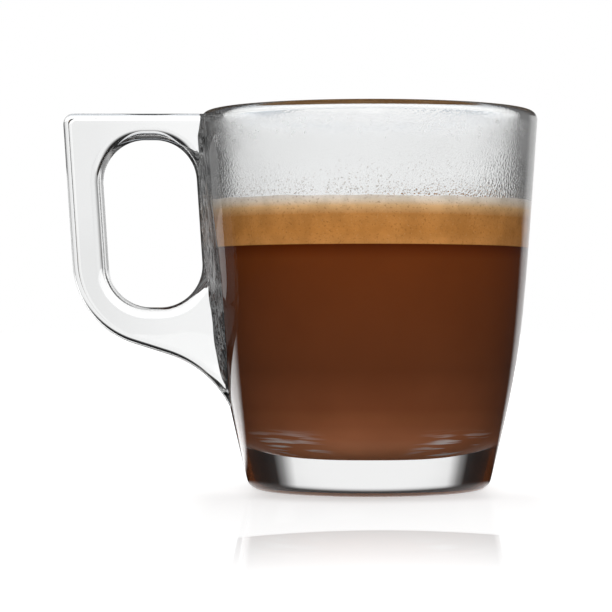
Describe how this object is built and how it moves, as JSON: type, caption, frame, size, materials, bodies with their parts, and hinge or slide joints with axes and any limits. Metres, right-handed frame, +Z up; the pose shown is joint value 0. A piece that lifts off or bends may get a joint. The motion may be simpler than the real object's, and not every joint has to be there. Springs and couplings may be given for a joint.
{
  "type": "mug of coffee",
  "caption": "Clear glass mug with a tapered cup, thick base and flat squared D handle, filled with coffee under a thick layer of golden crema.",
  "frame": {"origin": "on the cup's axis, at the centre of its flat base, on the table", "axes": "+Z up along the cup's axis, handle towards -X, and the picture looks along +Y"},
  "size_m": [0.1126, 0.08, 0.0896],
  "materials": {
    "clear_glass": "clear, smooth fire-polished pressed glass",
    "coffee_drink": "dark brown liquid, smooth",
    "crema_foam": "golden brown fine foam, matt"
  },
  "bodies": {
    "root": {"glass_body": "clear_glass", "glass_handle": "clear_glass", "coffee": "coffee_drink", "crema": "crema_foam"}
  },
  "joints": []
}
